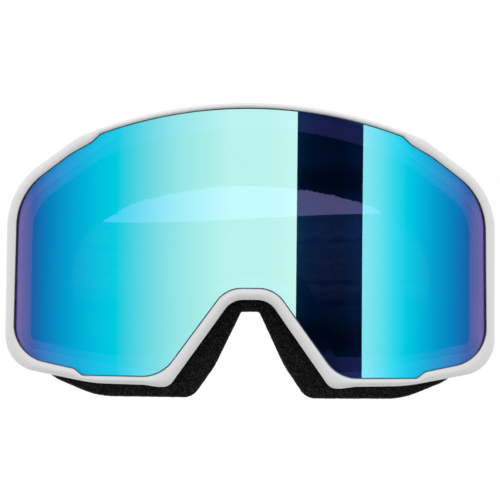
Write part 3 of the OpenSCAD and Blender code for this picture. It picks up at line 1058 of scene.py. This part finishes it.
def grip_line(height):
    """A wavy line of silicone inside the back of the strap, as rows round a bead with thin ends."""
    angles = np.radians(np.linspace(18, 162, 361))
    radius = MID_OUT - STRAP_T / 2 - 0.05
    line_rows = []
    for a in angles:
        x, y = radius * math.cos(a), STRAP_BACK + radius * math.sin(a)
        wave = GRIP_SWING * math.sin(GRIP_WAVES * a)
        size = min(1.0, 6 * min(a - angles[0], angles[-1] - a) + 0.05)
        centre_z = height + wave + hang(x, y)
        line_rows.append([
            (x - size * GRIP_T * math.sin(t) * math.cos(a), y - size * GRIP_T * math.sin(t) * math.sin(a),
             centre_z + size * GRIP_HALF_H * math.cos(t))
            for t in np.linspace(0, 2 * math.pi, 13)[:-1]
        ])
    return line_rows


def tube(rows):
    """Points and faces of a tube with closed ends, from rows of points round it."""
    count = len(rows[0])
    faces = []
    for k in range(len(rows) - 1):
        a, b = k * count, (k + 1) * count
        faces += [(a + i, a + (i + 1) % count, b + (i + 1) % count, b + i) for i in range(count)]
    faces.append(tuple(range(count)))
    faces.append(tuple(range((len(rows) - 1) * count, len(rows) * count))[::-1])
    return [p for r in rows for p in r], faces


bead_points, bead_faces = [], []
strap_mid = (STRAP_LOW + STRAP_HIGH) / 2
for height in (strap_mid - GRIP_PITCH, strap_mid, strap_mid + GRIP_PITCH):
    points, faces = tube(grip_line(height))
    bead_faces += [tuple(i + len(bead_points) for i in face) for face in faces]
    bead_points += points
grips = mesh_from("strap_grip_lines", bead_points, bead_faces, [SILICONE])
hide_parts("grip_beads")
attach(grips, "frame")


# ---------------------------------------------------------------- CAD parts that keep their shape
def finish_part(node_name, material_used, bevel=0.0):
    """Give a CAD node its material, and round its sharp edges by a width in mm."""
    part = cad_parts[node_name]
    part.data.materials.clear()
    part.data.materials.append(material_used)
    if bevel:
        modifier = part.modifiers.new("Rounded edges", "BEVEL")
        modifier.width = bevel * MM
        modifier.segments = 3
        modifier.limit_method = "ANGLE"
        modifier.angle_limit = math.radians(38)
        modifier.harden_normals = True


finish_part("face_frame", FRAME_BLACK)
finish_part("frame_pins", STEEL)
finish_part("lens_studs", STUD_PALE)
for name in ("vent_foam_top", "vent_foam_left", "vent_foam_right"):
    finish_part(name, VENT_FOAM)
for side_name in ("left", "right"):
    finish_part(f"outrigger_{side_name}", ARM_BLACK, 0.35)
    finish_part(f"hinge_pin_{side_name}", STEEL, 0.2)
    finish_part(f"adjuster_{side_name}", ADJUSTER_BLACK, 0.4)

# ---------------------------------------------------------------- stage, light and camera
FLOOR_Z = -0.30


def stage_card(name, corners, made_material):
    """A four-cornered card on the stage, with corners in metres."""
    mesh = bpy.data.meshes.new(name)
    mesh.from_pydata(corners, [], [(0, 1, 2, 3)])
    made = new_object(name, mesh, [made_material])
    return made


floor_material, floor_tree = material("pale_floor")
floor_shader = principled(floor_tree, (0.9, 0.9, 0.9), 0.9)
floor_shader.inputs["Emission Color"].default_value = (1, 1, 1, 1)
floor_shader.inputs["Emission Strength"].default_value = 0.12
floor = stage_card(
    "floor",
    [(-20, -20, FLOOR_Z), (20, -20, FLOOR_Z), (20, 20, FLOOR_Z), (-20, 20, FLOOR_Z)],
    floor_material,
)
floor.visible_diffuse = False
floor.visible_shadow = False

dark_material, dark_tree = material("dark_card")
dark_glow = node(dark_tree, "ShaderNodeEmission")
dark_place = node(dark_tree, "ShaderNodeTexCoord")
dark_split = node(dark_tree, "ShaderNodeSeparateXYZ")
link(dark_tree, dark_place.outputs["Generated"], dark_split.inputs[0])
CARD_COLOURS = [
    (0.0, (0.0, 0.012, 0.042)),
    (0.2, (0.0, 0.006, 0.026)),
    (0.6, (0.0, 0.004, 0.018)),
    (1.0, (0.0, 0.010, 0.042)),
]
dark_colours = ramp(dark_tree, dark_split.outputs["X"], CARD_COLOURS)
CARD_STOPS = [
    # height on the card in mm, and half its brightness there
    (-78, grey(0.8)), (-60, grey(0.4)), (-49, grey(0.15)), (-38, grey(0.45)), (0, grey(0.8)), (13, grey(1.0)),
    (24, grey(0.85)), (38, grey(0.22)), (46, grey(0.25)), (54, grey(0.55)), (66, grey(0.4)), (78, grey(0.85)),
]
card_split = node(dark_tree, "ShaderNodeSeparateXYZ")
link(dark_tree, dark_place.outputs["Object"], card_split.inputs[0])
card_shade = ramp_over(dark_tree, card_split.outputs["Z"], CARD_STOPS)
card_mix = node(dark_tree, "ShaderNodeMix", data_type="RGBA", blend_type="MULTIPLY")
card_mix.inputs[0].default_value = 1.0
link(dark_tree, dark_colours.outputs["Color"], card_mix.inputs[6])
link(dark_tree, card_shade.outputs["Color"], card_mix.inputs[7])
link(dark_tree, card_mix.outputs[2], dark_glow.inputs["Color"])
dark_glow.inputs["Strength"].default_value = 2.0
dark_output = node(dark_tree, "ShaderNodeOutputMaterial")
link(dark_tree, dark_glow.outputs[0], dark_output.inputs["Surface"])
CARD_DISTANCE = 3.0
CARD_FROM, CARD_TO, CARD_LEAN = math.radians(17.9), math.radians(45.0), math.radians(1.6)
CARD_LOW, CARD_HIGH = -1.5, 3.0


def card_spot(angle, z):
    """A point on the arc that the card stands on, at an angle from straight ahead of the lens."""
    return (CARD_DISTANCE * math.sin(angle), -CARD_DISTANCE * math.cos(angle), z)


card = stage_card(
    "dark_gap_card",
    [
        card_spot(CARD_FROM, CARD_LOW),
        card_spot(CARD_TO + CARD_LEAN, CARD_LOW),
        card_spot(CARD_TO - 2 * CARD_LEAN, CARD_HIGH),
        card_spot(CARD_FROM, CARD_HIGH),
    ],
    dark_material,
)
card.visible_camera = False
card.visible_diffuse = False
card.visible_transmission = False
card.visible_shadow = False

world = bpy.data.worlds.new("studio")
bpy.context.scene.world = world
world.use_nodes = True
sky_tree = world.node_tree
sky_place = node(sky_tree, "ShaderNodeTexCoord")
sky_split = node(sky_tree, "ShaderNodeSeparateXYZ")
link(sky_tree, sky_place.outputs["Generated"], sky_split.inputs[0])
sky_share = node(sky_tree, "ShaderNodeMapRange")
sky_share.inputs["From Min"].default_value = -1
link(sky_tree, sky_split.outputs["Z"], sky_share.inputs["Value"])
sky = ramp(sky_tree, sky_share.outputs[0], [(0.3, grey(0.5)), (0.45, grey(1.0)), (1.0, grey(1.0))])
link(sky_tree, sky.outputs["Color"], sky_tree.nodes["Background"].inputs["Color"])

key = bpy.data.lights.new("key", "AREA")
key.energy = 2.5
key.size = 2.0
key_object = bpy.data.objects.new("key", key)
key_object.location = (-0.6, -1.6, 2.2)
key_object.rotation_euler = (-Vector(key_object.location)).to_track_quat("-Z", "Y").to_euler()
key_object.visible_glossy = False
bpy.context.scene.collection.objects.link(key_object)

bpy.context.scene.view_settings.view_transform = "Standard"
bpy.context.scene.view_settings.look = "None"

CAMERA_DISTANCE = 5.0
FRAME_WIDTH = 0.18345
camera_data = bpy.data.cameras.new("camera")
camera_data.sensor_width = 36
camera_data.lens = 36 * CAMERA_DISTANCE / FRAME_WIDTH
camera_data.clip_end = 60
camera = bpy.data.objects.new("camera", camera_data)
camera.location = (-0.0003, -CAMERA_DISTANCE - 0.006, 0)
camera.rotation_euler = (math.radians(90), math.radians(-0.55), 0)
bpy.context.scene.collection.objects.link(camera)
bpy.context.scene.camera = camera
